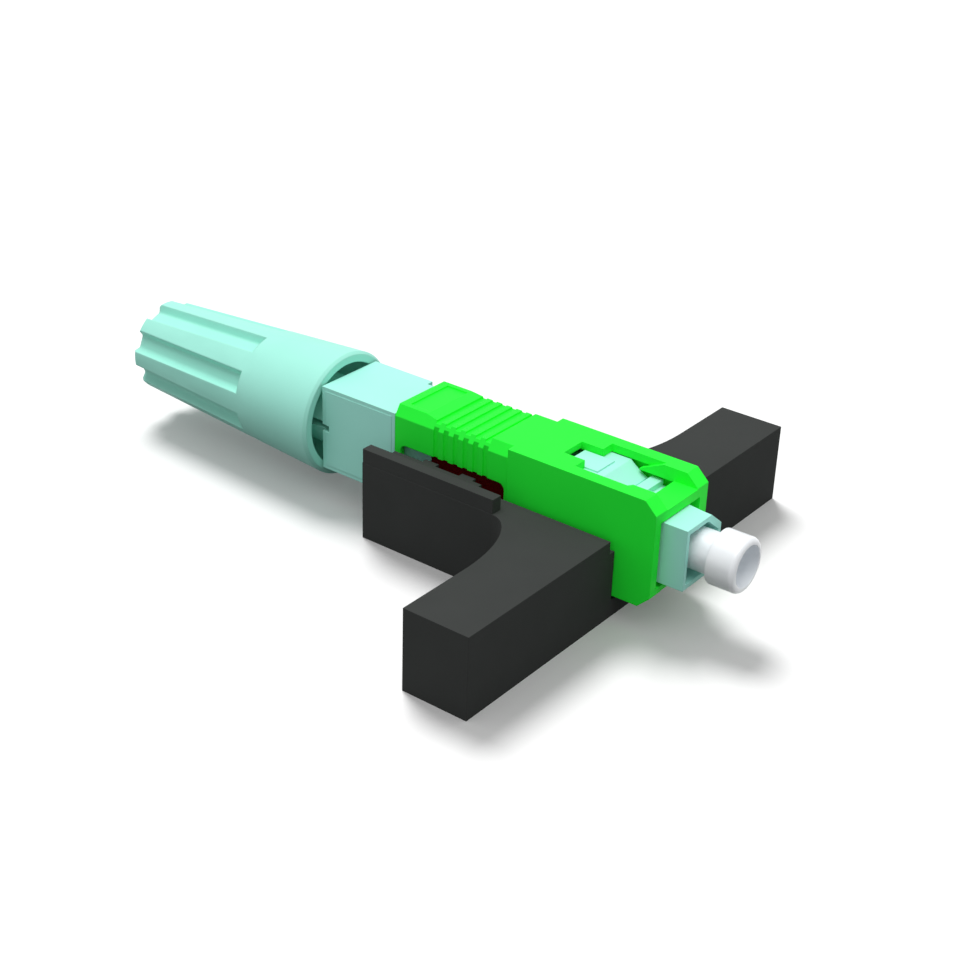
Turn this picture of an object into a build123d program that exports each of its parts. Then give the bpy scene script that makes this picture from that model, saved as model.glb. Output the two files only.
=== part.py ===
from build123d import *
import math
import os

# Field-fitted angled-polish fibre plug, held in the T-handled tool that keeps its splice open.
# Millimetres. +X runs along the ferrule to its tip, +Z is up, and +Y is the keyed side.
# The origin is on the ferrule's axis, in the plane of the outer sleeve's front face.

# Clearances
RUNNING_GAP = 0.03      # round bore over a ferrule or a turned spigot
SLIDE_GAP = 0.10        # flat faces that slide past each other
FITTED_GAP = 0.05       # flat faces pushed together once
LOOSE_GAP = 0.35        # a part that drops into the tool's channel
TOLERANCE = 0.001       # how near an edge lies to the place it is looked for

# Ferrule and its carrier
FERRULE_R = 1.25
FERRULE_TIP_X = 3.90
FERRULE_LENGTH = 9.50
POLISH_ANGLE = 8.0
FERRULE_EDGE = 0.35
FIBRE_R = 0.0625
STUB_GAP = 0.003
FLOAT_TRAVEL = 0.80
COLLAR_R = 2.00
COLLAR_LENGTH = 1.90
COLLAR_FLAT_Z = 1.75
TAIL_R = 1.10
TAIL_SOCKET = 1.20
FLANGE_WEB = 0.25
CARRIER_BORE_R = 0.45
SPRING_WIRE = 0.38
SPRING_TURNS = 4.0
SPRING_R = 1.62
WIRE_SIDES = 5

# Plug frame: the inner tube and its latch blocks
FRAME_HALF_Y = 2.49
FRAME_HALF_Z = 2.58
FRAME_WALL_Y = 0.38
FRAME_WALL_Z = 0.40
FRAME_FRONT_X = 2.08
FRAME_REAR_X = -13.20
STOP_WALL_X = -3.00
STOP_WALL = 1.50
POLARITY_TOP_Y = 0.90
POLARITY_SIDE_Z = 1.30
POLARITY_RUN = 8.0
POLARITY_GROWTH = 0.22
LATCH_TOP_Z = 3.81
LATCH_REAR_X = -9.75
LATCH_RIDGE_X = -6.28
LATCH_TOE_X = -4.68
LATCH_TOE_Z = 2.75
LATCH_HOLLOW = 0.05
BAR_REAR_X = -4.29
BAR_FRONT_X = -3.26
BAR_TOP_Z = 3.07
TAB_HALF_Y = 1.18
TAB_FRONT_X = -6.95
TAB_RISE = 0.13
SOCKET_HALF_Y = 2.75
SOCKET_HALF_Z = 2.90

# Outer sleeve
SLEEVE_HALF_Z = 4.53
SLEEVE_FRONT_HALF_Y = 3.65
SLEEVE_REAR_HALF_Y = 3.41
SLEEVE_STEP_X = -13.64
SLEEVE_REAR_X = -25.22
SLEEVE_CAVITY_HALF_Y = 2.95
SLEEVE_TRAVEL = 1.60
NOSE_CHAMFER_X = 1.04
NOSE_CHAMFER_Z = 1.00
GRIP_CHAMFER_Y = 0.56
GRIP_CHAMFER_Z = 0.90
MOUTH_HALF_Y = 2.85
MOUTH_HALF_Z = 3.01
BRIDGE_TOP_Z = 3.48
BRIDGE_REAR_X = -2.12
WINDOW_REAR_X = -10.11
WINDOW_STEP_X = -8.12
WINDOW_NARROW_HALF_Y = 1.23
WINDOW_WIDE_HALF_Y = 2.51
RELEASE_FOOT_X = -5.30
RELEASE_FOOT_Z = 3.38
RELEASE_HEEL = 0.11
RELEASE_TOP_X = -3.12
RELEASE_HALF_Y = 2.13
GROOVE_COUNT = 6
GROOVE_START_X = -21.23
GROOVE_PITCH = 0.993
GROOVE_WIDTH = 0.49
GROOVE_DEPTH_Y = 0.16
GROOVE_DEPTH_Z = 0.40
RIB_DROP_Z = 0.22
PAD_SLOPE_X = -22.35
PAD_SLOPE_DROP = 0.18
PAD_RECESS = 0.15
PAD_RECESS_REAR_X = -24.47
PAD_RECESS_HALF_Y = 2.40
SIDE_WINDOW_REAR_X = -24.64
SIDE_WINDOW_FRONT_X = -14.08
SIDE_WINDOW_TOP_Z = 1.21
SIDE_WINDOW_BOTTOM_Z = -3.10
SIDE_WINDOW_CORNER = 0.55
KEY_HALF_Z = 1.10
KEY_HEIGHT = 0.65
KEY_FRONT_X = -3.00
KEY_REAR_X = -12.00
KEY_LEAD = 0.40

# Splice: base, two covers, clips and the holder round them
SPLICE_FRONT_X = -13.95
SPLICE_REAR_X = -24.10
SPLICE_HALF_Y = 1.60
SPLICE_HALF_Z = 1.60
SPLICE_OPENING = 0.12
GROOVE_V_DEPTH = 0.11
SPLICE_LEAD = 0.45
COVER_SPLIT_X = -19.35
COVER_GAP = 0.20
CLIP_WALL = 0.22
CLIP_LENGTH = 3.40
CLIP_LEG_Z = -0.90
CLIP_SIDE_GAP = 0.02
HOLDER_HALF_Y = 2.75
HOLDER_HALF_Z = 2.90
HOLDER_REAR_X = -21.90
HOLDER_FRONT_X = -13.20
HOLDER_CAVITY_HALF_Y = 2.02
HOLDER_CAVITY_HALF_Z = 2.00
HOLDER_SPIGOT = 2.60
HOLDER_SPIGOT_HALF = 2.18
HOLDER_TONGUE = 1.20
HOLDER_TONGUE_HALF_Y = 2.35
HOLDER_TONGUE_HALF_Z = 2.40

# Rear body with its split collet
BODY_HALF_Y = 3.40
BODY_HALF_Z = 3.79
BODY_REAR_X = -33.20
BODY_NOSE_HALF_Y = 2.80
BODY_NOSE_HALF_Z = 3.30
BODY_PANEL_INSET = 0.36
BODY_PANEL_RISE = 0.03
BODY_NOTCH_X = -26.90
BODY_NOTCH_WIDTH = 0.66
BODY_NOTCH_HEIGHT = 1.50
COLLET_R = 3.00
COLLET_TIP_R = 2.45
COLLET_LENGTH = 8.60
COLLET_TAPER = 2.40
COLLET_SLIT = 0.60
SLIT_NOTCH = 0.72
CABLE_R = 1.70
CABLE_STOP_X = -30.20
GUIDE_R = 1.20
GUIDE_LENGTH = 4.60
GUIDE_MOUTH_R = 0.90
GUIDE_BORE_R = 0.16
GUIDE_FUNNEL = 2.60

# Clamp nut and the grip bush it drives
NUT_STANDOFF = 0.15
NUT_LENGTH = 22.28
NUT_MOUTH_R = 5.50
NUT_TAPER = 0.0597
NUT_MOUTH_BORE_R = 4.60
NUT_MOUTH_DEPTH = 1.80
NUT_MOUTH_EDGE = 0.25
NUT_REAR_EDGE = 0.20
NUT_END_WALL = 2.40
ENTRY_R = 1.88
FLUTE_COUNT = 8
FLUTE_START = 8.50
FLUTE_DEPTH = 0.78
FLUTE_FLOOR = 1.15
FLUTE_MOUTH = 2.10
FLUTE_CORNER = 0.28
BUSH_LENGTH = 7.20
BUSH_NOSE = 2.00
BUSH_NOSE_R = 2.05
BUSH_BORE_R = 1.60
BUSH_SLIT = 0.50

# Dust cap
CAP_NECK_R = 1.69
CAP_HEAD_R = 2.25
CAP_HEAD_X = 3.60
CAP_FRONT_X = 5.98
CAP_REAR_X = -2.50
CAP_EDGE = 0.42
CAP_RECESS_R = 1.72
CAP_RECESS_DEPTH = 1.55

# T-handled tool
FLOOR_Z = -6.39
ARM_TOP_Z = 0.54
ARM_SPAN_HALF_Y = 21.52
ARM_REAR_X = -9.12
ARM_FRONT_X = -3.30
CRADLE_REAR_X = -25.73
CRADLE_HALF_Y = 6.86
ARM_CURVE_X = 3.50
ARM_CURVE_Y = 7.80
FENCE_FRONT_X = -12.56
FENCE_TOP_Z = 1.77
FENCE_WALL = 1.03
CHANNEL_LEDGE_DROP = 1.10
CHANNEL_UPPER_HALF_Y = 4.40
CHANNEL_FLOOR_Z = -4.88
INSERT_SET_IN = 0.03
INSERT_WALL = 0.85
INSERT_FLANGE = 0.24
INSERT_FLOOR = 0.52
SHELF_REAR_X = -24.69
SHELF_FRONT_X = -15.83
SHELF_REACH_Y = 3.99
SHELF_TOP_Z = 0.82
LUG_REACH_Y = 3.52
LUG_LENGTH = 1.35
BLADE_X = (-21.20, -17.45)
BLADE_LENGTH = 1.20
BLADE_ROOT = 1.20
BLADE_NECK = 0.50
BLADE_TIP = 0.08
BLADE_TIP_Z = -0.35


def span(x0, x1, y0, y1, z0, z1):
    """Box between two corners."""
    centre = Pos((x0 + x1) / 2, (y0 + y1) / 2, (z0 + z1) / 2)
    return centre * Box(x1 - x0, y1 - y0, z1 - z0)


def block(x0, x1, half_y, half_z):
    """Box centred on the ferrule's axis."""
    return span(x0, x1, -half_y, half_y, -half_z, half_z)


def rod(x0, x1, radius):
    """Round bar along the ferrule's axis."""
    return Pos((x0 + x1) / 2, 0, 0) * Rot(0, 90, 0) * Cylinder(radius, x1 - x0)


def turned(*points):
    """Solid of revolution about the ferrule's axis, from (x, radius) points."""
    outline = Polyline(*[(x, 0, r) for x, r in points], close=True)
    return revolve(make_face(outline), Axis.X)


def prism_xz(points, y0, y1):
    """Outline in the XZ plane, from (x, z) points, carried from y0 to y1."""
    face = make_face(Polyline(*[(x, y0, z) for x, z in points], close=True))
    return extrude(face, amount=y1 - y0, dir=(0, 1, 0))


def prism_yz(points, x0, x1):
    """Outline in the YZ plane, from (y, z) points, carried from x0 to x1."""
    face = make_face(Polyline(*[(x0, y, z) for y, z in points], close=True))
    return extrude(face, amount=x1 - x0, dir=(1, 0, 0))


def both_z(shape):
    """The shape and its mirror image below the axis."""
    return shape + mirror(shape, about=Plane.XY)


def both_y(shape):
    """The shape and its mirror image on the other side."""
    return shape + mirror(shape, about=Plane.XZ)


def circles(shape, x, radius):
    """Round edges of a turned shape at one place along the axis."""
    rims = shape.edges().filter_by(GeomType.CIRCLE)
    return [e for e in rims if abs(e.center().X - x) < TOLERANCE and abs(e.radius - radius) < TOLERANCE]


def octagon(half_y, half_z, cut_y, cut_z):
    """Corner points of a rectangle with its four corners cut off."""
    return [
        (-half_y, -half_z + cut_z), (-half_y + cut_y, -half_z),
        (half_y - cut_y, -half_z), (half_y, -half_z + cut_z),
        (half_y, half_z - cut_z), (half_y - cut_y, half_z),
        (-half_y + cut_y, half_z), (-half_y, half_z - cut_z),
    ]


# Places that follow from the sizes above
FERRULE_REAR_X = FERRULE_TIP_X - FERRULE_LENGTH
COLLAR_FRONT_X = STOP_WALL_X - STOP_WALL
COLLAR_REAR_X = COLLAR_FRONT_X - COLLAR_LENGTH
HOLDER_SPIGOT_X = HOLDER_FRONT_X + HOLDER_SPIGOT
NUT_MOUTH_X = BODY_REAR_X - NUT_STANDOFF
NUT_REAR_X = NUT_MOUTH_X - NUT_LENGTH
FLUTE_FRONT_X = NUT_MOUTH_X - FLUTE_START
TAIL_REAR_X = SPLICE_FRONT_X - TAIL_SOCKET
NUT_SLOPE = math.degrees(math.atan(NUT_TAPER))
SLEEVE_CAVITY_HALF_Z = LATCH_TOP_Z + FITTED_GAP
BLADE_REAR_X = BLADE_X[0] - BLADE_LENGTH / 2
BLADE_FRONT_X = BLADE_X[1] + BLADE_LENGTH / 2
GUIDE_FRONT_X = SPLICE_REAR_X - FLOAT_TRAVEL - SLIDE_GAP
BODY_CAVITY_REAR_X = GUIDE_FRONT_X - SLIDE_GAP
CHANNEL_LOWER_HALF_Y = SLEEVE_FRONT_HALF_Y + SLIDE_GAP
LEDGE_Z = ARM_TOP_Z - CHANNEL_LEDGE_DROP
FENCE_INNER_Y = CRADLE_HALF_Y - FENCE_WALL


def nut_radius(x):
    """Outer radius of the clamp nut's cone."""
    return NUT_MOUTH_R - NUT_TAPER * (NUT_MOUTH_X - x)


def make_polish_cut():
    """Wedge off the ferrule's tip, at the polishing angle."""
    side = 2 * FERRULE_R
    return Pos(FERRULE_TIP_X, 0, 0) * Rot(0, POLISH_ANGLE, 0) * span(0, side, -side, side, -side, side)


def make_ferrule():
    """Ceramic ferrule, its tip chamfered and polished at an angle."""
    body = turned(
        (FERRULE_REAR_X, FIBRE_R), (FERRULE_REAR_X, FERRULE_R - FERRULE_EDGE),
        (FERRULE_REAR_X + FERRULE_EDGE, FERRULE_R), (FERRULE_TIP_X - 2 * FERRULE_EDGE, FERRULE_R),
        (FERRULE_TIP_X, FERRULE_R - FERRULE_EDGE), (FERRULE_TIP_X, FIBRE_R),
    )
    return body - make_polish_cut()


def make_ferrule_flange():
    """Metal collar pressed on the ferrule, with two flats against turning."""
    collar = rod(COLLAR_REAR_X, COLLAR_FRONT_X, COLLAR_R)
    collar &= block(COLLAR_REAR_X, COLLAR_FRONT_X, COLLAR_R, COLLAR_FLAT_Z)
    collar -= rod(FERRULE_REAR_X, COLLAR_FRONT_X, FERRULE_R)
    collar -= rod(COLLAR_REAR_X, FERRULE_REAR_X - FLANGE_WEB, TAIL_R)
    return collar - rod(COLLAR_REAR_X, FERRULE_REAR_X, CARRIER_BORE_R)


def make_tail_tube():
    """Tube behind the flange, which guides the spring and carries the splice."""
    front = FERRULE_REAR_X - FLANGE_WEB
    return rod(TAIL_REAR_X, front, TAIL_R) - rod(TAIL_REAR_X, front, CARRIER_BORE_R)


def make_fibre_stub():
    """Factory fibre, from the polished tip back to the middle of the splice."""
    return rod(COVER_SPLIT_X + COVER_GAP, FERRULE_TIP_X, FIBRE_R - STUB_GAP) - make_polish_cut()


def make_ferrule_spring():
    """Compression spring between the carrier's collar and the splice holder."""
    rear = HOLDER_SPIGOT_X + SPRING_WIRE / 2
    front = COLLAR_REAR_X - SPRING_WIRE / 2
    height = front - rear
    path = Helix(height / SPRING_TURNS, height, SPRING_R)
    start = path @ 0
    section = Plane(start, z_dir=path % 0) * RegularPolygon(SPRING_WIRE / 2, WIRE_SIDES)
    coil = sweep(section, path=path, is_frenet=True)
    return Pos(rear, 0, 0) * Rot(0, 90, 0) * coil


def make_latch_block():
    """Raised block on one face of the plug frame, with its ramp, bar and tab."""
    middle_x = (LATCH_RIDGE_X + LATCH_TOE_X) / 2
    middle_z = (LATCH_TOP_Z + LATCH_TOE_Z) / 2
    ramp = ThreePointArc(
        (LATCH_RIDGE_X, -FRAME_HALF_Y, LATCH_TOP_Z),
        (middle_x - LATCH_HOLLOW, -FRAME_HALF_Y, middle_z - LATCH_HOLLOW),
        (LATCH_TOE_X, -FRAME_HALF_Y, LATCH_TOE_Z),
    )
    rest = Polyline(
        (LATCH_TOE_X, -FRAME_HALF_Y, LATCH_TOE_Z), (LATCH_TOE_X, -FRAME_HALF_Y, 0),
        (LATCH_REAR_X, -FRAME_HALF_Y, 0), (LATCH_REAR_X, -FRAME_HALF_Y, LATCH_TOP_Z),
        (LATCH_RIDGE_X, -FRAME_HALF_Y, LATCH_TOP_Z),
    )
    hump = extrude(make_face([ramp, rest]), amount=2 * FRAME_HALF_Y, dir=(0, 1, 0))
    bar = span(BAR_REAR_X, BAR_FRONT_X, -FRAME_HALF_Y, FRAME_HALF_Y, 0, BAR_TOP_Z)
    tab = span(LATCH_REAR_X, TAB_FRONT_X, -TAB_HALF_Y, TAB_HALF_Y, 0, LATCH_TOP_Z + TAB_RISE)
    return hump + bar + tab


def make_polarity_cut():
    """Corner cut on the keyed side, which grows towards the front end."""
    def corner(x, growth):
        top_y = POLARITY_TOP_Y + growth
        side_z = POLARITY_SIDE_Z + growth
        far_y = 2 * FRAME_HALF_Y
        far_z = side_z - (far_y - FRAME_HALF_Y) * (FRAME_HALF_Z - side_z) / (FRAME_HALF_Y - top_y)
        high_z = 2 * FRAME_HALF_Z
        high_y = top_y - (high_z - FRAME_HALF_Z) * (FRAME_HALF_Y - top_y) / (FRAME_HALF_Z - side_z)
        return make_face(Polyline((x, high_y, high_z), (x, far_y, high_z), (x, far_y, far_z), close=True))

    front = corner(FRAME_FRONT_X, 0)
    rear = corner(FRAME_FRONT_X - POLARITY_RUN, POLARITY_GROWTH * POLARITY_RUN)
    return loft([rear, front])


def make_plug_frame():
    """Inner tube that a coupling's latches hold, with a stop wall for the ferrule carrier."""
    tube = block(LATCH_REAR_X, FRAME_FRONT_X, FRAME_HALF_Y, FRAME_HALF_Z)
    socket = block(FRAME_REAR_X, LATCH_REAR_X, SOCKET_HALF_Y, SOCKET_HALF_Z)
    frame = tube + socket + both_z(make_latch_block())
    inner_y = FRAME_HALF_Y - FRAME_WALL_Y
    inner_z = FRAME_HALF_Z - FRAME_WALL_Z
    cuts = both_z(make_polarity_cut() & block(STOP_WALL_X, FRAME_FRONT_X, SLEEVE_HALF_Z, SLEEVE_HALF_Z))
    cavity = block(STOP_WALL_X, FRAME_FRONT_X, inner_y, inner_z)
    lining = both_z(Pos(0, -FRAME_WALL_Y, -FRAME_WALL_Z) * make_polarity_cut())
    frame -= cuts
    frame -= cavity - lining
    frame -= rod(COLLAR_FRONT_X, STOP_WALL_X, CAP_NECK_R + SLIDE_GAP)
    frame -= rod(HOLDER_SPIGOT_X, COLLAR_FRONT_X, COLLAR_R + SLIDE_GAP)
    socket_half = HOLDER_SPIGOT_HALF + FITTED_GAP
    frame -= block(FRAME_REAR_X, HOLDER_SPIGOT_X + FITTED_GAP, socket_half, socket_half)
    return frame


def make_sleeve_section(x0, x1, drop_y, drop_z):
    """Length of the grip part, its flat faces set in by the two drops and its corner cuts left as they are."""
    points = octagon(SLEEVE_REAR_HALF_Y, SLEEVE_HALF_Z, GRIP_CHAMFER_Y, GRIP_CHAMFER_Z)
    return prism_yz(points, x0, x1) & block(x0, x1, SLEEVE_REAR_HALF_Y - drop_y, SLEEVE_HALF_Z - drop_z)


def make_grip_bands():
    """Rings to cut from the grip: grooves all round, and the lower tops of the ribs."""
    bands = []
    for i in range(GROOVE_COUNT):
        groove_x = GROOVE_START_X + i * GROOVE_PITCH
        rib_x = groove_x + GROOVE_WIDTH
        ring = block(groove_x, rib_x, 2 * SLEEVE_HALF_Z, 2 * SLEEVE_HALF_Z)
        bands.append(ring - make_sleeve_section(groove_x, rib_x, GROOVE_DEPTH_Y, GROOVE_DEPTH_Z))
        if i < GROOVE_COUNT - 1:
            next_x = groove_x + GROOVE_PITCH
            ring = block(rib_x, next_x, 2 * SLEEVE_HALF_Z, 2 * SLEEVE_HALF_Z)
            bands.append(ring - make_sleeve_section(rib_x, next_x, 0, RIB_DROP_Z))
    return bands


def make_release_rails():
    """Ramped rails beside the window, which lift a coupling's latches."""
    rail = prism_xz(
        [
            (RELEASE_FOOT_X, RELEASE_FOOT_Z), (RELEASE_FOOT_X, RELEASE_FOOT_Z + RELEASE_HEEL),
            (RELEASE_TOP_X, SLEEVE_HALF_Z), (BRIDGE_REAR_X, SLEEVE_HALF_Z),
            (BRIDGE_REAR_X, RELEASE_FOOT_Z),
        ],
        RELEASE_HALF_Y, SLEEVE_CAVITY_HALF_Y,
    )
    return both_z(both_y(rail))


def make_side_window():
    """Rounded window through both side walls."""
    high = SIDE_WINDOW_TOP_Z - SIDE_WINDOW_BOTTOM_Z
    length = SIDE_WINDOW_FRONT_X - SIDE_WINDOW_REAR_X
    centre_x = (SIDE_WINDOW_FRONT_X + SIDE_WINDOW_REAR_X) / 2
    centre_z = (SIDE_WINDOW_TOP_Z + SIDE_WINDOW_BOTTOM_Z) / 2
    outline = Plane.XZ * RectangleRounded(length, high, SIDE_WINDOW_CORNER)
    return Pos(centre_x, 0, centre_z) * extrude(outline, amount=2 * SLEEVE_FRONT_HALF_Y, both=True)


def make_key():
    """Key on the +Y side, with a sloped lead at its front."""
    root = SLEEVE_FRONT_HALF_Y - FITTED_GAP
    crest = SLEEVE_FRONT_HALF_Y + KEY_HEIGHT
    points = [(KEY_REAR_X, root), (KEY_REAR_X, crest), (KEY_FRONT_X - KEY_LEAD, crest), (KEY_FRONT_X, root)]
    face = make_face(Polyline(*[(x, y, -KEY_HALF_Z) for x, y in points], close=True))
    return extrude(face, amount=2 * KEY_HALF_Z, dir=(0, 0, 1))


def make_outer_sleeve():
    """Sliding sleeve: the hand grip, the latch windows and the key."""
    front = prism_xz(
        [
            (SLEEVE_STEP_X, -SLEEVE_HALF_Z), (-NOSE_CHAMFER_X, -SLEEVE_HALF_Z),
            (0, -SLEEVE_HALF_Z + NOSE_CHAMFER_Z), (0, SLEEVE_HALF_Z - NOSE_CHAMFER_Z),
            (-NOSE_CHAMFER_X, SLEEVE_HALF_Z), (SLEEVE_STEP_X, SLEEVE_HALF_Z),
        ],
        -SLEEVE_FRONT_HALF_Y, SLEEVE_FRONT_HALF_Y,
    )
    sleeve = front + make_sleeve_section(SLEEVE_REAR_X, SLEEVE_STEP_X, 0, 0)
    for band in make_grip_bands():
        sleeve -= band
    slope = prism_xz(
        [
            (PAD_SLOPE_X, SLEEVE_HALF_Z), (GROOVE_START_X, SLEEVE_HALF_Z - PAD_SLOPE_DROP),
            (GROOVE_START_X, SLEEVE_HALF_Z + PAD_SLOPE_DROP), (PAD_SLOPE_X, SLEEVE_HALF_Z + PAD_SLOPE_DROP),
        ],
        -SLEEVE_REAR_HALF_Y, SLEEVE_REAR_HALF_Y,
    )
    recess = span(PAD_RECESS_REAR_X, PAD_SLOPE_X, -PAD_RECESS_HALF_Y, PAD_RECESS_HALF_Y,
                  SLEEVE_HALF_Z - PAD_RECESS, SLEEVE_HALF_Z + PAD_RECESS)
    sleeve -= both_z(slope)
    sleeve -= both_z(recess)
    sleeve -= block(SLEEVE_REAR_X, BRIDGE_REAR_X, SLEEVE_CAVITY_HALF_Y, SLEEVE_CAVITY_HALF_Z)
    sleeve -= span(BRIDGE_REAR_X, 0, -MOUTH_HALF_Y, FRAME_HALF_Y + SLIDE_GAP,
                   -MOUTH_HALF_Z, FRAME_HALF_Z + SLIDE_GAP)
    sleeve -= both_z(span(WINDOW_REAR_X, WINDOW_STEP_X, -WINDOW_NARROW_HALF_Y, WINDOW_NARROW_HALF_Y,
                          0, SLEEVE_HALF_Z))
    sleeve -= both_z(span(WINDOW_STEP_X, BRIDGE_REAR_X, -WINDOW_WIDE_HALF_Y, WINDOW_WIDE_HALF_Y,
                          0, SLEEVE_HALF_Z))
    sleeve += make_release_rails()
    sleeve -= both_z(span(BRIDGE_REAR_X, 0, -RELEASE_HALF_Y, RELEASE_HALF_Y, BRIDGE_TOP_Z, SLEEVE_HALF_Z))
    sleeve -= make_side_window()
    tab_room = TAB_RISE + SLEEVE_CAVITY_HALF_Z
    sleeve -= block(LATCH_REAR_X - SLEEVE_TRAVEL - SLIDE_GAP, WINDOW_REAR_X, WINDOW_NARROW_HALF_Y, tab_room)
    blade_half = BLADE_ROOT / 2 + LOOSE_GAP
    sleeve -= span(BLADE_REAR_X - SLEEVE_TRAVEL - LOOSE_GAP, BLADE_FRONT_X + LOOSE_GAP,
                   -blade_half, blade_half, -SLEEVE_HALF_Z, 0)
    return sleeve + make_key()


def make_lead_in(x0, x1):
    """Notch under the parting line, where a blade starts."""
    low = -SPLICE_HALF_Z
    points = [(-SPLICE_LEAD, low), (0, low + SPLICE_LEAD), (SPLICE_OPENING, low + SPLICE_LEAD),
              (SPLICE_OPENING + SPLICE_LEAD, low)]
    return prism_yz(points, x0, x1)


def make_splice_base():
    """Fixed half of the splice, with the V groove that lines the two fibres up."""
    base = span(SPLICE_REAR_X, SPLICE_FRONT_X, -SPLICE_HALF_Y, 0, -SPLICE_HALF_Z, SPLICE_HALF_Z)
    head = block(COVER_SPLIT_X + CLIP_LENGTH + COVER_GAP, SPLICE_FRONT_X, SPLICE_HALF_Y, SPLICE_HALF_Z)
    vee = prism_yz([(0, GROOVE_V_DEPTH), (-GROOVE_V_DEPTH, 0), (0, -GROOVE_V_DEPTH)],
                   SPLICE_REAR_X, SPLICE_FRONT_X)
    socket = rod(TAIL_REAR_X, SPLICE_FRONT_X, TAIL_R)
    return base + head - vee - socket - rod(TAIL_REAR_X - TAIL_SOCKET, TAIL_REAR_X, GUIDE_BORE_R) \
        - make_lead_in(SPLICE_REAR_X, COVER_SPLIT_X + CLIP_LENGTH + COVER_GAP)


def make_splice_cover(x0, x1):
    """Loose half of the splice over one stretch of the groove, held open by a blade."""
    cover = span(x0, x1, SPLICE_OPENING, SPLICE_HALF_Y, -SPLICE_HALF_Z, SPLICE_HALF_Z)
    return cover - make_lead_in(x0, x1)


def make_splice_clip(centre_x):
    """Spring clip over the splice's back, open below for the blade."""
    x0 = centre_x - CLIP_LENGTH / 2
    x1 = centre_x + CLIP_LENGTH / 2
    inner = SPLICE_HALF_Y + CLIP_SIDE_GAP
    outer = inner + CLIP_WALL
    top = SPLICE_HALF_Z + CLIP_WALL
    shell = span(x0, x1, -outer, outer, CLIP_LEG_Z, top)
    return shell - span(x0, x1, -inner, inner, CLIP_LEG_Z, SPLICE_HALF_Z)


def blade_slots(low_z, high_z):
    """Slots that let both blades through a wall between two heights."""
    slots = []
    for x in BLADE_X:
        half = BLADE_LENGTH / 2 + LOOSE_GAP
        slots.append(span(x - half, x + half, -BLADE_ROOT / 2 - SLIDE_GAP, BLADE_ROOT / 2 + SLIDE_GAP,
                          low_z, high_z))
    return slots


def make_splice_holder():
    """Channel that guides the splice, seats the spring and joins body to frame."""
    holder = block(HOLDER_REAR_X, HOLDER_FRONT_X, HOLDER_HALF_Y, HOLDER_HALF_Z)
    holder += block(HOLDER_FRONT_X, HOLDER_SPIGOT_X, HOLDER_SPIGOT_HALF, HOLDER_SPIGOT_HALF)
    holder += block(HOLDER_REAR_X - HOLDER_TONGUE, HOLDER_REAR_X, HOLDER_TONGUE_HALF_Y, HOLDER_TONGUE_HALF_Z)
    holder -= block(HOLDER_REAR_X - HOLDER_TONGUE, SPLICE_FRONT_X + SLIDE_GAP,
                    HOLDER_CAVITY_HALF_Y, HOLDER_CAVITY_HALF_Z)
    holder -= rod(SPLICE_FRONT_X, HOLDER_SPIGOT_X, TAIL_R + SLIDE_GAP)
    for slot in blade_slots(-HOLDER_HALF_Z, 0):
        holder -= slot
    return holder


def make_fibre_guide():
    """Turned insert that funnels the bare fibre into the splice."""
    rear = GUIDE_FRONT_X - GUIDE_LENGTH
    return turned(
        (rear, GUIDE_MOUTH_R), (rear, GUIDE_R), (GUIDE_FRONT_X, GUIDE_R),
        (GUIDE_FRONT_X, GUIDE_BORE_R), (rear + GUIDE_FUNNEL, GUIDE_BORE_R),
    )


def make_collet():
    """Split collet behind the body, squeezed on the cable by the nut."""
    tip = BODY_REAR_X - COLLET_LENGTH
    collet = turned(
        (BODY_REAR_X, CABLE_R), (BODY_REAR_X, COLLET_R), (tip + COLLET_TAPER, COLLET_R),
        (tip, COLLET_TIP_R), (tip, CABLE_R),
    )
    half = COLLET_SLIT / 2
    collet -= span(tip, BODY_REAR_X, -2 * COLLET_R, 2 * COLLET_R, -half, half)
    collet -= span(tip, BODY_REAR_X - COLLET_R, -half, half, -2 * COLLET_R, 2 * COLLET_R)
    return collet


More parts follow.
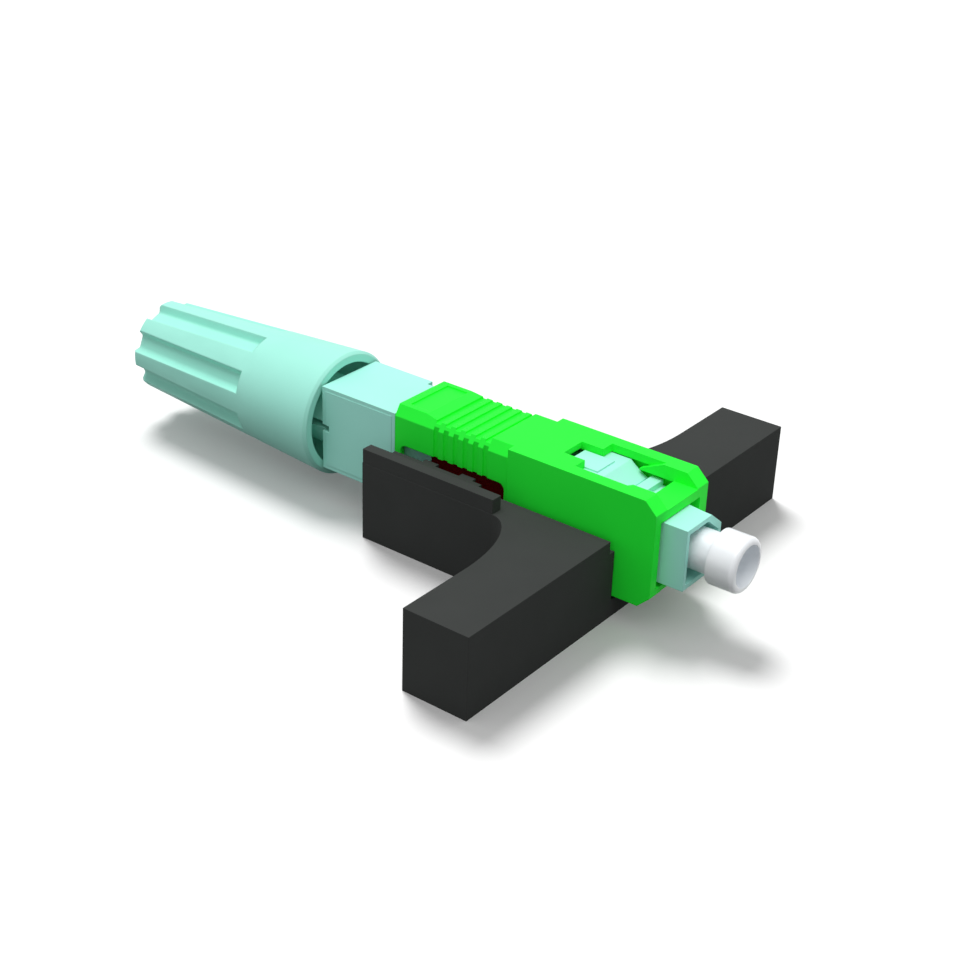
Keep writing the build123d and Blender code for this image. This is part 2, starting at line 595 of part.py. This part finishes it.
def make_rear_body():
    """Rear body: the block, its nose inside the sleeve and the split collet."""
    block_part = block(BODY_REAR_X, SLEEVE_REAR_X - FITTED_GAP, BODY_HALF_Y, BODY_HALF_Z)
    nose = block(SLEEVE_REAR_X - FITTED_GAP, HOLDER_REAR_X, BODY_NOSE_HALF_Y, BODY_NOSE_HALF_Z)
    panel_x = SLEEVE_REAR_X - FITTED_GAP - BODY_PANEL_INSET
    panel = block(BODY_REAR_X + BODY_PANEL_INSET, panel_x, BODY_HALF_Y + BODY_PANEL_RISE,
                  BODY_HALF_Z - BODY_PANEL_INSET)
    body = block_part + nose + panel + make_collet()
    body -= span(BODY_NOTCH_X, SLEEVE_REAR_X, BODY_HALF_Y - BODY_NOTCH_WIDTH, 2 * BODY_HALF_Y,
                 BODY_HALF_Z - BODY_NOTCH_HEIGHT, 2 * BODY_HALF_Z)
    body -= span(BODY_REAR_X, BODY_REAR_X + SLIT_NOTCH, -2 * BODY_HALF_Y, 2 * BODY_HALF_Y,
                 -COLLET_SLIT / 2, COLLET_SLIT / 2)
    body -= rod(BODY_REAR_X - COLLET_LENGTH, CABLE_STOP_X, CABLE_R)
    body -= rod(CABLE_STOP_X, GUIDE_FRONT_X - GUIDE_LENGTH, GUIDE_MOUTH_R)
    body -= rod(GUIDE_FRONT_X - GUIDE_LENGTH, BODY_CAVITY_REAR_X, GUIDE_R)
    body -= block(BODY_CAVITY_REAR_X, HOLDER_REAR_X, HOLDER_CAVITY_HALF_Y, HOLDER_CAVITY_HALF_Z)
    body -= block(HOLDER_REAR_X - HOLDER_TONGUE - FITTED_GAP, HOLDER_REAR_X,
                  HOLDER_TONGUE_HALF_Y + FITTED_GAP, HOLDER_TONGUE_HALF_Z + FITTED_GAP)
    for slot in blade_slots(-BODY_HALF_Z, 0):
        body -= slot & block(SLEEVE_REAR_X, HOLDER_REAR_X + SLIDE_GAP, BODY_HALF_Y, BODY_HALF_Z)
    return body


def make_flute():
    """Cutter for one flute, laid along the nut's cone above the axis."""
    length = FLUTE_FRONT_X - NUT_REAR_X + NUT_MOUTH_R
    floor = FLUTE_FLOOR / 2
    mouth = FLUTE_MOUTH / 2
    rise = NUT_MOUTH_R - nut_radius(NUT_REAR_X)
    flare = (mouth - floor) * (FLUTE_DEPTH + rise) / FLUTE_DEPTH
    points = [(-floor, -FLUTE_DEPTH), (floor, -FLUTE_DEPTH), (floor + flare, rise), (-floor - flare, rise)]
    cutter = prism_yz(points, -length, 0)
    cutter = fillet(cutter.edges().filter_by(Axis.X).group_by(Axis.Z)[0], FLUTE_CORNER)
    return Pos(FLUTE_FRONT_X, 0, nut_radius(FLUTE_FRONT_X)) * Rot(0, -NUT_SLOPE, 0) * cutter


def make_clamp_nut():
    """Fluted clamp nut with a flared mouth, a screw bore and a cone for the collet."""
    collet_tip = BODY_REAR_X - COLLET_LENGTH
    bore = COLLET_R + SLIDE_GAP
    tip_bore = COLLET_TIP_R + SLIDE_GAP
    nut = turned(
        (NUT_REAR_X, ENTRY_R), (NUT_REAR_X, nut_radius(NUT_REAR_X)), (NUT_MOUTH_X, NUT_MOUTH_R),
        (NUT_MOUTH_X, NUT_MOUTH_BORE_R), (NUT_MOUTH_X - NUT_MOUTH_DEPTH, NUT_MOUTH_BORE_R),
        (NUT_MOUTH_X - NUT_MOUTH_DEPTH - (NUT_MOUTH_BORE_R - bore), bore),
        (collet_tip + COLLET_TAPER, bore), (collet_tip - SLIDE_GAP, tip_bore),
        (NUT_REAR_X + NUT_END_WALL, tip_bore), (NUT_REAR_X + NUT_END_WALL, ENTRY_R),
    )
    nut = chamfer(circles(nut, NUT_MOUTH_X, NUT_MOUTH_R), NUT_MOUTH_EDGE)
    nut = chamfer(circles(nut, NUT_REAR_X, nut_radius(NUT_REAR_X)), NUT_REAR_EDGE)
    flute = make_flute()
    for i in range(FLUTE_COUNT):
        nut -= Rot((i + 0.5) * 360 / FLUTE_COUNT, 0, 0) * flute
    return nut


def make_grip_bush():
    """Split bush that grips the cable's jacket in the nut's tail and keeps it from twisting."""
    rear = NUT_REAR_X + NUT_END_WALL
    front = rear + BUSH_LENGTH
    bush = turned(
        (rear, BUSH_BORE_R), (rear, COLLET_TIP_R), (front - BUSH_NOSE, COLLET_TIP_R),
        (front, BUSH_NOSE_R), (front, BUSH_BORE_R),
    )
    half = BUSH_SLIT / 2
    return bush - span(rear, front, -half, half, 0, COLLET_R)


def make_dust_cap():
    """Moulded cap over the ferrule: neck, rounded head and a blind recess in front."""
    cap = turned((CAP_REAR_X, 0), (CAP_REAR_X, CAP_NECK_R), (CAP_HEAD_X, CAP_NECK_R),
                 (CAP_HEAD_X, CAP_HEAD_R), (CAP_FRONT_X, CAP_HEAD_R), (CAP_FRONT_X, 0))
    cap = fillet(circles(cap, CAP_FRONT_X, CAP_HEAD_R), CAP_EDGE)
    cap -= rod(CAP_FRONT_X - CAP_RECESS_DEPTH, CAP_FRONT_X, CAP_RECESS_R)
    return cap - rod(CAP_REAR_X, FERRULE_TIP_X + SLIDE_GAP, FERRULE_R + RUNNING_GAP)


def make_tool_handle():
    """T-shaped handle: two finger arms in front and the cradle's base behind."""
    arms = span(ARM_REAR_X, ARM_FRONT_X, -ARM_SPAN_HALF_Y, ARM_SPAN_HALF_Y, FLOOR_Z, ARM_TOP_Z)
    cradle = span(CRADLE_REAR_X, ARM_REAR_X, -CRADLE_HALF_Y, CRADLE_HALF_Y, FLOOR_Z, ARM_TOP_Z)
    curve_x = ARM_REAR_X - ARM_CURVE_X
    curve_y = CRADLE_HALF_Y + ARM_CURVE_Y
    web = span(curve_x, ARM_REAR_X, CRADLE_HALF_Y, curve_y, FLOOR_Z, ARM_TOP_Z)
    web -= Pos(curve_x, curve_y, FLOOR_Z) * extrude(Ellipse(ARM_CURVE_X, ARM_CURVE_Y), ARM_TOP_Z - FLOOR_Z)
    handle = arms + cradle + both_y(web)
    return handle - make_channel()


def make_channel():
    """Space in the handle for the plug, its key and the wedge insert."""
    lower = span(CRADLE_REAR_X, ARM_FRONT_X, -CHANNEL_LOWER_HALF_Y, CHANNEL_LOWER_HALF_Y,
                 CHANNEL_FLOOR_Z, ARM_TOP_Z)
    upper = span(CRADLE_REAR_X, ARM_FRONT_X, -CHANNEL_UPPER_HALF_Y, CHANNEL_UPPER_HALF_Y,
                 LEDGE_Z, ARM_TOP_Z)
    key_room = span(KEY_REAR_X - LOOSE_GAP, ARM_FRONT_X, 0, CHANNEL_UPPER_HALF_Y,
                    -KEY_HALF_Z - SLIDE_GAP, ARM_TOP_Z)
    insert_half = CHANNEL_LOWER_HALF_Y + INSERT_WALL + FITTED_GAP
    insert_room = span(CRADLE_REAR_X, SHELF_FRONT_X + FITTED_GAP, -insert_half, insert_half,
                       CHANNEL_FLOOR_Z - INSERT_FLOOR, ARM_TOP_Z)
    return lower + upper + key_room + insert_room


def make_blade(x):
    """Wedge blade that stands on the channel's floor and parts the splice."""
    low = -SPLICE_HALF_Z
    neck = BLADE_NECK / 2
    middle = SPLICE_OPENING / 2
    tip = BLADE_TIP / 2
    lead = low + SPLICE_LEAD - (neck - tip)
    points = [
        (middle - BLADE_ROOT / 2, CHANNEL_FLOOR_Z), (middle + BLADE_ROOT / 2, CHANNEL_FLOOR_Z),
        (middle + BLADE_ROOT / 2, low - LOOSE_GAP - BLADE_ROOT / 2 + neck),
        (middle + neck, low - LOOSE_GAP), (middle + neck, lead),
        (middle + tip, low + SPLICE_LEAD), (middle + tip, BLADE_TIP_Z), (middle - tip, BLADE_TIP_Z),
        (middle - tip, low + SPLICE_LEAD), (middle - neck, lead), (middle - neck, low - LOOSE_GAP),
        (middle - BLADE_ROOT / 2, low - LOOSE_GAP - BLADE_ROOT / 2 + neck),
    ]
    return prism_yz(points, x - BLADE_LENGTH / 2, x + BLADE_LENGTH / 2)


def make_wedge_insert():
    """Insert in the cradle: a trough with fences, shelves and lugs above, and the two blades inside."""
    rear = CRADLE_REAR_X + INSERT_SET_IN
    wide = CRADLE_HALF_Y - INSERT_SET_IN
    outer = CHANNEL_LOWER_HALF_Y + INSERT_WALL
    low = CHANNEL_FLOOR_Z - INSERT_FLOOR
    side = prism_yz(
        [
            (0, low), (outer, low), (outer, ARM_TOP_Z), (wide, ARM_TOP_Z), (wide, ARM_TOP_Z + INSERT_FLANGE),
            (CHANNEL_UPPER_HALF_Y, ARM_TOP_Z + INSERT_FLANGE), (CHANNEL_LOWER_HALF_Y, LEDGE_Z),
            (CHANNEL_LOWER_HALF_Y, CHANNEL_FLOOR_Z), (0, CHANNEL_FLOOR_Z),
        ],
        rear, SHELF_FRONT_X,
    )
    side += span(rear, FENCE_FRONT_X, FENCE_INNER_Y, wide, ARM_TOP_Z, FENCE_TOP_Z)
    side += span(SHELF_REAR_X, SHELF_FRONT_X, SHELF_REACH_Y, FENCE_INNER_Y, ARM_TOP_Z, SHELF_TOP_Z)
    for x in BLADE_X:
        half = LUG_LENGTH / 2
        side += span(x - half, x + half, LUG_REACH_Y, SHELF_REACH_Y, ARM_TOP_Z, SHELF_TOP_Z)
    insert = both_y(side)
    for x in BLADE_X:
        insert += make_blade(x)
    return insert


def write(name, shape):
    """Write one node's solid as a STEP file."""
    export_step(shape, f"parts/{name}.step")


rear_cover = (SPLICE_REAR_X, COVER_SPLIT_X - COVER_GAP / 2)
front_cover = (COVER_SPLIT_X + COVER_GAP / 2, COVER_SPLIT_X + CLIP_LENGTH + COVER_GAP / 2)

os.makedirs("parts", exist_ok=True)
write("ferrule", make_ferrule())
write("ferrule_flange", make_ferrule_flange())
write("tail_tube", make_tail_tube())
write("fibre_stub", make_fibre_stub())
write("ferrule_spring", make_ferrule_spring())
write("plug_frame", make_plug_frame())
write("outer_sleeve", make_outer_sleeve())
write("splice_base", make_splice_base())
write("splice_cover_rear", make_splice_cover(*rear_cover))
write("splice_cover_front", make_splice_cover(*front_cover))
write("splice_clip_rear", make_splice_clip(BLADE_X[0]))
write("splice_clip_front", make_splice_clip(BLADE_X[1]))
write("splice_holder", make_splice_holder())
write("fibre_guide", make_fibre_guide())
write("rear_body", make_rear_body())
write("clamp_nut", make_clamp_nut())
write("grip_bush", make_grip_bush())
write("dust_cap", make_dust_cap())
write("tool_handle", make_tool_handle())
write("wedge_insert", make_wedge_insert())
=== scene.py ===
import math

import bpy
from mathutils import Matrix, Vector


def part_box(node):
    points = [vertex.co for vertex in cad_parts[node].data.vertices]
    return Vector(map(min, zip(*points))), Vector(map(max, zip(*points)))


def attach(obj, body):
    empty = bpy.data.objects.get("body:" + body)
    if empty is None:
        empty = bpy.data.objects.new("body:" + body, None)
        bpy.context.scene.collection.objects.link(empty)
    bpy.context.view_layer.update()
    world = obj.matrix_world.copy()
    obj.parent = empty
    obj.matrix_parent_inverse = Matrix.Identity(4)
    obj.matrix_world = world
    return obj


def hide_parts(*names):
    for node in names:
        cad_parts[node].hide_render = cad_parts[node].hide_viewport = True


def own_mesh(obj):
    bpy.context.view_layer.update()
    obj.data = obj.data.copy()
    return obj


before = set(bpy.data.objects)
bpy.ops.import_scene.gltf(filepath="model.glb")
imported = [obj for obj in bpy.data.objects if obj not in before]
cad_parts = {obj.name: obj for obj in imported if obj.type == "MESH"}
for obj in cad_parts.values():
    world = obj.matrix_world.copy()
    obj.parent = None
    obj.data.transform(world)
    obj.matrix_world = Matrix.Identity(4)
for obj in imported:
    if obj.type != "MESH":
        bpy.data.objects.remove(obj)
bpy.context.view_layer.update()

MM = 0.001
FLOOR_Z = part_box("tool_handle")[0].z

# The camera stands at the photograph's place, in millimetres and degrees.
CAMERA_TARGET = Vector((-22.813, 6.543, FLOOR_Z / MM))
CAMERA_DISTANCE = 150.593
CAMERA_AZIMUTH = 36.614
CAMERA_ELEVATION = 28.203
CAMERA_ROLL = 2.076
LENS = 63.688
SENSOR = 36.0

# Studio light: a broad soft lamp overhead, an even fill from all round, and a lamp that the floor alone
# takes, because the shadow in the photograph falls to the front on the right.
KEY_FROM = Vector((0.04, -0.09, 1.0))
KEY_STRENGTH = 2.30
KEY_ANGLE = 50.0
FLOOR_KEY_FROM = Vector((-0.56, 0.34, 1.0))
FLOOR_KEY_STRENGTH = 2.65
FLOOR_KEY_ANGLE = 24.0
FLOOR_GLOW = 0.09
FILL_STRENGTH = 0.48
BACKGROUND_STRENGTH = 1.0

# The floor's width and the lamps' distance, in metres. A sun lamp lights alike from any distance.
FLOOR_WIDTH = 3.0
LAMP_DISTANCE = 0.3

# The floor's colour to the camera, its colour to the light that it throws back, and plain white.
FLOOR_SEEN = "#F4F4F4"
FLOOR_THROWN = "#7A7A7A"
WHITE = "#FFFFFF"

# Surface patterns, in millimetres. A mould's spark-eroded grain is about 0.05 and a turning tool's rings
# are about 0.08 apart. Both are too fine to show, so they are drawn some four times as coarse.
GRAIN = 0.22
GRAIN_DEPTH = 0.006
DULL_GRAIN_DEPTH = 0.010
CLEAR_GRAIN_DEPTH = 0.003
POLISHED_GRAIN_DEPTH = 0.001
RINGS = 0.32
RING_DEPTH = 0.004

# Where the plastic flowed, its colour has faint clouds of this width, in millimetres. The deep tone holds
# up to the first value of their noise, and the full colour from the second.
FLOW_CLOUDS = 6.0
DEEP_TONE_ENDS = 0.30
FULL_COLOUR_STARTS = 0.70

# Radii of the edges that a mould leaves, in millimetres.
MOULDED_EDGE = 0.06
NUT_EDGE = 0.17

# The grain moves the roughness up or down by its gloss value, and the rings only up. The strength is how
# much of a pattern's depth tilts the surface.
GRAIN_GLOSS = 0.05
GRAIN_STRENGTH = 0.5
RING_GLOSS = 0.12
RING_STRENGTH = 0.3

# A wave texture's bands lie this far apart at a scale of one.
WAVE_BAND = math.pi / 10

NYLON_IOR = 1.53

# Ferrule spring, in millimetres and degrees: round wire on the same coil as the solid. Its seats come
# from the splice holder and the ferrule's flange.
SPRING_WIRE = 0.38
SPRING_R = 1.62
SPRING_TURNS = 4
SPRING_SEAT_GAP = 0.02
WIRE_SIDES = 12
STEPS_PER_TURN = 32
MERGE_DISTANCE = 0.001
CREASE_ANGLE = 40.0


def linear(code):
    """sRGB hex code to the linear colour that a shader takes."""
    channels = [int(code[i:i + 2], 16) / 255 for i in (1, 3, 5)]
    return tuple(c / 12.92 if c <= 0.04045 else ((c + 0.055) / 1.055) ** 2.4 for c in channels) + (1.0,)


def add_node(tree, kind, settings=None, links=None):
    """Adds a node with its settings and the sockets that feed it."""
    node = tree.nodes.new(kind)
    for name, value in (settings or {}).items():
        if name in node.inputs:
            node.inputs[name].default_value = value
        else:
            setattr(node, name, value)
    for name, source in (links or {}).items():
        tree.links.new(source, node.inputs[name])
    return node


def new_material(name, **shader_values):
    """Material with its shader's plain values set on the shader's own sockets."""
    material = bpy.data.materials.new(name)
    material.use_nodes = True
    shader = material.node_tree.nodes["Principled BSDF"]
    for socket, value in shader_values.items():
        shader.inputs[socket.replace("_", " ")].default_value = value
    return material, material.node_tree, shader


def mould(name, colour, deep, roughness, edge=MOULDED_EDGE, grain_depth=GRAIN_DEPTH, **shader_values):
    """A plastic or ceramic surface: faint clouds in its colour, a fine grain, and edges drawn soft."""
    material, tree, shader = new_material(name, **shader_values)
    place = add_node(tree, "ShaderNodeTexCoord")
    flow = add_node(tree, "ShaderNodeTexNoise",
                    {"Scale": 1 / (FLOW_CLOUDS * MM), "Detail": 3.0, "Roughness": 0.55},
                    {"Vector": place.outputs["Object"]})
    tone = add_node(tree, "ShaderNodeValToRGB", links={"Fac": flow.outputs["Fac"]})
    deep_stop, full_stop = tone.color_ramp.elements
    deep_stop.position = DEEP_TONE_ENDS
    deep_stop.color = linear(deep)
    full_stop.position = FULL_COLOUR_STARTS
    full_stop.color = linear(colour)
    grain = add_node(tree, "ShaderNodeTexNoise",
                     {"Scale": 1 / (GRAIN * MM), "Detail": 4.0, "Roughness": 0.6},
                     {"Vector": place.outputs["Object"]})
    gloss = add_node(tree, "ShaderNodeMapRange",
                     {"To Min": roughness - GRAIN_GLOSS, "To Max": roughness + GRAIN_GLOSS},
                     {"Value": grain.outputs["Fac"]})
    soft = add_node(tree, "ShaderNodeBevel", {"samples": 8, "Radius": edge * MM})
    relief = add_node(tree, "ShaderNodeBump", {"Strength": GRAIN_STRENGTH, "Distance": grain_depth * MM},
                      {"Height": grain.outputs["Fac"], "Normal": soft.outputs["Normal"]})
    tree.links.new(tone.outputs["Color"], shader.inputs["Base Color"])
    tree.links.new(gloss.outputs["Result"], shader.inputs["Roughness"])
    tree.links.new(relief.outputs["Normal"], shader.inputs["Normal"])
    return material


def turn_metal(name, colour, roughness):
    """A turned or drawn metal surface, with the tool's fine rings round the ferrule's axis."""
    material, tree, shader = new_material(name, Metallic=1.0, Base_Color=linear(colour))
    place = add_node(tree, "ShaderNodeTexCoord")
    rings = add_node(tree, "ShaderNodeTexWave",
                     {"bands_direction": "X", "Scale": WAVE_BAND / (RINGS * MM),
                      "Distortion": 0.6, "Detail": 2.0},
                     {"Vector": place.outputs["Object"]})
    gloss = add_node(tree, "ShaderNodeMapRange", {"To Min": roughness, "To Max": roughness + RING_GLOSS},
                     {"Value": rings.outputs["Fac"]})
    relief = add_node(tree, "ShaderNodeBump", {"Strength": RING_STRENGTH, "Distance": RING_DEPTH * MM},
                      {"Height": rings.outputs["Fac"]})
    tree.links.new(gloss.outputs["Result"], shader.inputs["Roughness"])
    tree.links.new(relief.outputs["Normal"], shader.inputs["Normal"])
    return material


def turquoise_moulded_nylon():
    """Pale turquoise nylon, injection moulded."""
    # Nylon from an eroded mould looks satin: an even pale colour, a broad faint sheen and crisp edges
    # that catch a thin line of light.
    return mould("turquoise_moulded_nylon", colour="#ACF4E5", deep="#A8F0E1", roughness=0.50,
                 IOR=NYLON_IOR, Specular_IOR_Level=0.18)


def turquoise_soft_nylon_with_painted_shade():
    """The same nylon, as moulded for the nut that fingers grip; its colour is drawn a touch darker, as
    painted shade.
    """
    # The nut's ribs are rounded for the hand, so light rolls over each edge instead of breaking at it.
    # The colour and deep tone here are a little darker than the other turquoise nylon's: painted shade that
    # dims the whole nut.
    return mould("turquoise_soft_nylon_with_painted_shade", colour="#A8F1E0", deep="#A4EDDC", roughness=0.52,
                 edge=NUT_EDGE, IOR=NYLON_IOR, Specular_IOR_Level=0.18)


def green_moulded_nylon():
    """Bright green nylon, injection moulded."""
    # A strong pigment hides the nylon's milkiness, so the green is full and flat, with a faint sheen.
    return mould("green_moulded_nylon", colour="#2AFF3E", deep="#28FC3C", roughness=0.48,
                 IOR=NYLON_IOR, Specular_IOR_Level=0.10)


def dark_red_moulded_nylon():
    """Very dark red nylon, injection moulded."""
    # With the tool on, it is seen only in the shade of the side window, as a deep red, almost black.
    return mould("dark_red_moulded_nylon", colour="#6E0505", deep="#680404", roughness=0.55,
                 IOR=NYLON_IOR, Specular_IOR_Level=0.10)


def white_moulded_polyethylene():
    """Soft white polyethylene, injection moulded."""
    # Light sinks in and comes out beside where it fell, so the cap's shade starts softly, and its waxy
    # skin has a wide dim shine.
    return mould("white_moulded_polyethylene", colour="#F6FBFF", deep="#F2F8FE", roughness=0.35,
                 IOR=1.51, Specular_IOR_Level=0.80, Subsurface_Weight=0.3, Subsurface_Radius=(1.0, 1.0, 1.0),
                 Subsurface_Scale=0.8 * MM, Coat_Weight=0.7, Coat_Roughness=0.35)


def charcoal_moulded_abs():
    """Charcoal ABS, injection moulded against a dull mould."""
    # The dull mould leaves next to no shine: dark grey on top, nearly black on the sides.
    return mould("charcoal_moulded_abs", colour="#404241", deep="#3D3F3E", roughness=0.70,
                 grain_depth=DULL_GRAIN_DEPTH, IOR=1.54, Specular_IOR_Level=0.02)


def milky_moulded_polycarbonate():
    """Clear polycarbonate, injection moulded, milky from its grain."""
    # Thin clear plastic over dark parts looks pale grey, with a small sharp shine.
    return mould("milky_moulded_polycarbonate", colour="#DDE4E4", deep="#D5DCDC", roughness=0.30,
                 grain_depth=CLEAR_GRAIN_DEPTH, IOR=1.585, Specular_IOR_Level=0.5)


def polished_zirconia():
    """White zirconia ceramic, ground and polished."""
    # Polished ceramic looks wet: a warm white with sharp bright reflections.
    return mould("polished_zirconia", colour="#F4F2EA", deep="#F0EEE6", roughness=0.12,
                 grain_depth=POLISHED_GRAIN_DEPTH, IOR=2.15, Specular_IOR_Level=0.5)


def nickel_plated_turned_brass():
    """Turned brass under a bright nickel plate."""
    # The plate turns the brass a warm silver and keeps the tool's rings, which stretch its highlights.
    return turn_metal("nickel_plated_turned_brass", colour="#C9C5BB", roughness=0.22)


def drawn_spring_steel():
    """Spring steel, drawn bright."""
    # A cool grey metal whose drawing lines dull its reflections a little.
    return turn_metal("drawn_spring_steel", colour="#A9ABAF", roughness=0.28)


def make_spring(steel):
    """Compression spring of round wire, wound between its rear seat and the ferrule's flange."""
    rear_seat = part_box("splice_holder")[1].x
    front_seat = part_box("ferrule_flange")[0].x
    rear = rear_seat + (SPRING_SEAT_GAP + SPRING_WIRE / 2) * MM
    front = front_seat - (SPRING_SEAT_GAP + SPRING_WIRE / 2) * MM
    bpy.ops.object.select_all(action="DESELECT")
    bpy.ops.mesh.primitive_circle_add(vertices=WIRE_SIDES, radius=SPRING_WIRE / 2 * MM,
                                      location=(rear, 0, -SPRING_R * MM), rotation=(math.pi / 2, 0, 0))
    spring = bpy.context.active_object
    spring.name = "wound_spring"
    bpy.ops.object.transform_apply(location=True, rotation=True, scale=True)
    coil = spring.modifiers.new("coil", "SCREW")
    coil.axis = "X"
    coil.screw_offset = (front - rear) / SPRING_TURNS
    coil.iterations = SPRING_TURNS
    coil.steps = STEPS_PER_TURN
    coil.render_steps = STEPS_PER_TURN
    bpy.ops.object.modifier_apply(modifier=coil.name)
    bpy.ops.object.mode_set(mode="EDIT")
    bpy.ops.mesh.select_all(action="SELECT")
    bpy.ops.mesh.remove_doubles(threshold=MERGE_DISTANCE * MM)
    bpy.ops.mesh.fill_holes(sides=0)
    bpy.ops.mesh.normals_make_consistent(inside=False)
    bpy.ops.object.mode_set(mode="OBJECT")
    bpy.ops.object.shade_smooth_by_angle(angle=math.radians(CREASE_ANGLE))
    spring.data.materials.append(steel)
    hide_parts("ferrule_spring")
    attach(spring, "connector")
    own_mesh(spring)


def wear(material, *names):
    """Gives CAD nodes one material."""
    for name in names:
        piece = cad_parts[name]
        piece.data.materials.clear()
        piece.data.materials.append(material)


def dress_nodes(steel):
    """Gives every solid the plastic, metal or ceramic of the real piece."""
    wear(turquoise_moulded_nylon(), "plug_frame", "rear_body", "fibre_guide")
    wear(turquoise_soft_nylon_with_painted_shade(), "clamp_nut")
    wear(green_moulded_nylon(), "outer_sleeve")
    wear(dark_red_moulded_nylon(), "splice_holder")
    wear(white_moulded_polyethylene(), "dust_cap")
    wear(charcoal_moulded_abs(), "tool_handle", "wedge_insert", "grip_bush")
    wear(milky_moulded_polycarbonate(),
         "splice_base", "splice_cover_rear", "splice_cover_front", "fibre_stub")
    wear(polished_zirconia(), "ferrule")
    wear(nickel_plated_turned_brass(), "ferrule_flange", "tail_tube")
    wear(steel, "ferrule_spring", "splice_clip_rear", "splice_clip_front")


def camera_rays(tree):
    """One for rays from the camera, a mirror or a glass, and nought for the light on the object."""
    path = add_node(tree, "ShaderNodeLightPath")
    seen = path.outputs["Is Camera Ray"]
    for ray in ("Is Glossy Ray", "Is Transmission Ray"):
        either = add_node(tree, "ShaderNodeMath", {"operation": "MAXIMUM"})
        tree.links.new(seen, either.inputs[0])
        tree.links.new(path.outputs[ray], either.inputs[1])
        seen = either.outputs["Value"]
    return seen


def make_floor():
    """Pale floor, white to the camera, and grey to the light that it throws back on the object."""
    bpy.ops.object.select_all(action="DESELECT")
    bpy.ops.mesh.primitive_plane_add(size=FLOOR_WIDTH, location=(0, 0, FLOOR_Z))
    floor = bpy.context.active_object
    floor.name = "floor"
    material = bpy.data.materials.new("white_card")
    material.use_nodes = True
    tree = material.node_tree
    tree.nodes.clear()
    card = add_node(tree, "ShaderNodeBsdfDiffuse", {"Color": linear(FLOOR_SEEN)})
    glow = add_node(tree, "ShaderNodeEmission", {"Color": linear(WHITE), "Strength": FLOOR_GLOW})
    seen = add_node(tree, "ShaderNodeAddShader")
    tree.links.new(card.outputs["BSDF"], seen.inputs[0])
    tree.links.new(glow.outputs["Emission"], seen.inputs[1])
    thrown = add_node(tree, "ShaderNodeBsdfDiffuse", {"Color": linear(FLOOR_THROWN)})
    mix = add_node(tree, "ShaderNodeMixShader", links={"Fac": camera_rays(tree)})
    tree.links.new(thrown.outputs["BSDF"], mix.inputs[1])
    tree.links.new(seen.outputs["Shader"], mix.inputs[2])
    add_node(tree, "ShaderNodeOutputMaterial", links={"Surface": mix.outputs["Shader"]})
    floor.data.materials.append(material)
    return floor


def make_world():
    """Even fill light, with a white background."""
    world = bpy.data.worlds.new("studio")
    bpy.context.scene.world = world
    world.use_nodes = True
    tree = world.node_tree
    tree.nodes.clear()
    fill = add_node(tree, "ShaderNodeBackground", {"Color": linear(WHITE), "Strength": FILL_STRENGTH})
    white = add_node(tree, "ShaderNodeBackground", {"Color": linear(WHITE), "Strength": BACKGROUND_STRENGTH})
    mix = add_node(tree, "ShaderNodeMixShader", links={"Fac": camera_rays(tree)})
    tree.links.new(fill.outputs["Background"], mix.inputs[1])
    tree.links.new(white.outputs["Background"], mix.inputs[2])
    add_node(tree, "ShaderNodeOutputWorld", links={"Surface": mix.outputs["Shader"]})


def make_lamp(name, come_from, strength, angle, floor, floor_state):
    """Broad soft lamp, far away, that the floor either takes alone or leaves to the object."""
    lamp = bpy.data.lights.new(name, "SUN")
    lamp.energy = strength
    lamp.angle = math.radians(angle)
    holder = bpy.data.objects.new(name, lamp)
    bpy.context.scene.collection.objects.link(holder)
    holder.rotation_euler = come_from.to_track_quat("Z", "Y").to_euler()
    holder.location = come_from * LAMP_DISTANCE
    receivers = bpy.data.collections.new(f"{name}_receivers")
    receivers.objects.link(floor)
    receivers.collection_objects[0].light_linking.link_state = floor_state
    holder.light_linking.receiver_collection = receivers


def make_camera():
    """Camera at the photograph's place and lens."""
    azimuth, elevation, roll = (math.radians(a) for a in (CAMERA_AZIMUTH, CAMERA_ELEVATION, CAMERA_ROLL))
    back = Vector((math.sin(azimuth) * math.cos(elevation), -math.cos(azimuth) * math.cos(elevation),
                   math.sin(elevation)))
    level = Vector((0, 0, 1)).cross(back).normalized()
    upright = back.cross(level)
    right = math.cos(roll) * level + math.sin(roll) * upright
    up = back.cross(right)
    data = bpy.data.cameras.new("camera")
    data.lens = LENS
    data.sensor_width = SENSOR
    data.sensor_fit = "HORIZONTAL"
    data.clip_start = 1 * MM
    camera = bpy.data.objects.new("camera", data)
    turn = Matrix((right, up, back)).transposed().to_4x4()
    place = (CAMERA_TARGET + back * CAMERA_DISTANCE) * MM
    camera.matrix_world = Matrix.Translation(place) @ turn
    bpy.context.scene.collection.objects.link(camera)
    bpy.context.scene.camera = camera


bpy.context.scene.view_settings.view_transform = "Standard"
spring_steel = drawn_spring_steel()
make_spring(spring_steel)
dress_nodes(spring_steel)
floor = make_floor()
make_world()
make_lamp("key", KEY_FROM, KEY_STRENGTH, KEY_ANGLE, floor, "EXCLUDE")
make_lamp("floor_key", FLOOR_KEY_FROM, FLOOR_KEY_STRENGTH, FLOOR_KEY_ANGLE, floor, "INCLUDE")
make_camera()

bpy.context.view_layer.update()
